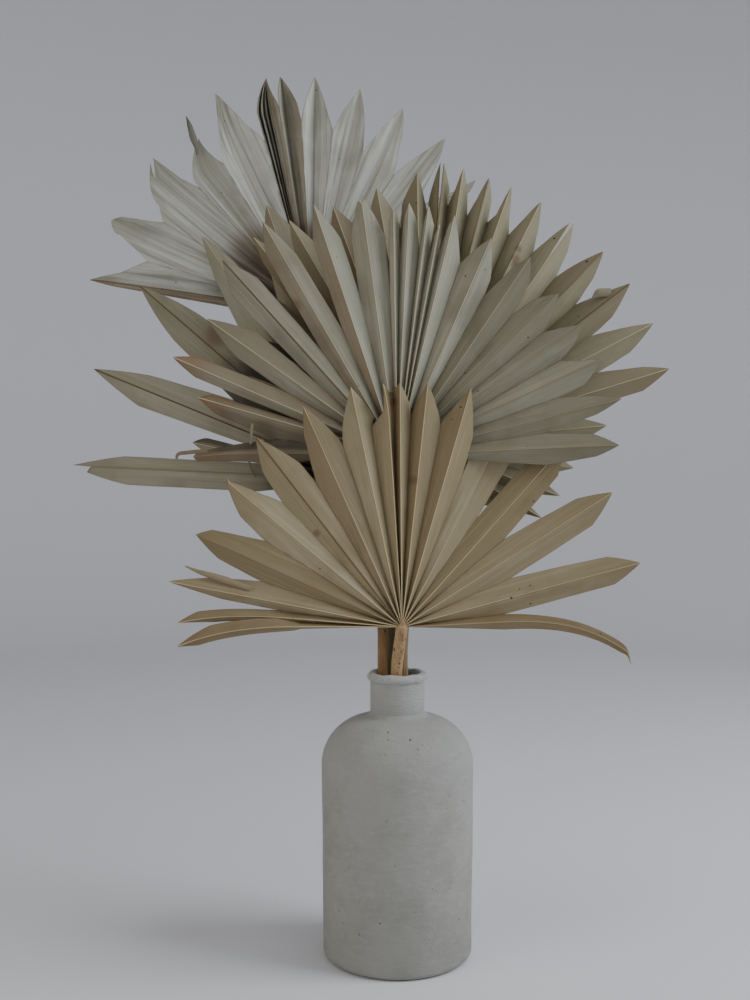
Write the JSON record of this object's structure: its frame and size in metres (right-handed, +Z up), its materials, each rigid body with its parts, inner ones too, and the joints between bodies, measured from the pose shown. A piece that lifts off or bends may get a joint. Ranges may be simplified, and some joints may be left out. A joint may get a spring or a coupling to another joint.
{
  "type": "dried palm sun in a bottle vase",
  "caption": "Dried sun-cut fan palm fronds, pleated and pointed, standing in a short-necked chalky bottle vase with a domed shoulder.",
  "frame": {"origin": "centre of the vase's flat base, on the surface it stands on", "axes": "+Z up along the vase's axis; the fans' faces look towards -Y; +X is to the viewer's right"},
  "size_m": [0.5394, 0.1502, 0.7978],
  "materials": {
    "chalk_ceramic": "matte chalky off-white slip with faint throwing marks",
    "front_blade": "dry khaki straw leaf, satin, with pale ribs",
    "middle_blade": "dry grey-green straw leaf, satin, with pale ribs",
    "right_blade": "dry khaki straw leaf, satin, with brown freckles",
    "left_blade": "dry grey straw leaf, matte, with brown edges",
    "top_blade": "dry silver-grey leaf, satin",
    "front_petiole": "dry tan stem with dark pits",
    "left_petiole": "dry red-brown stem",
    "dark_petiole": "dry olive-brown stem in the shade of the others"
  },
  "bodies": {
    "root": {"bottle_vase": "chalk_ceramic", "front_leaf": "front_blade", "front_stem": "front_petiole", "middle_leaf": "middle_blade", "middle_stem": "dark_petiole", "right_leaf": "right_blade", "right_stem": "dark_petiole", "left_leaf": "left_blade", "left_stem": "left_petiole", "top_leaf": "top_blade", "top_stem": "dark_petiole"}
  },
  "joints": []
}
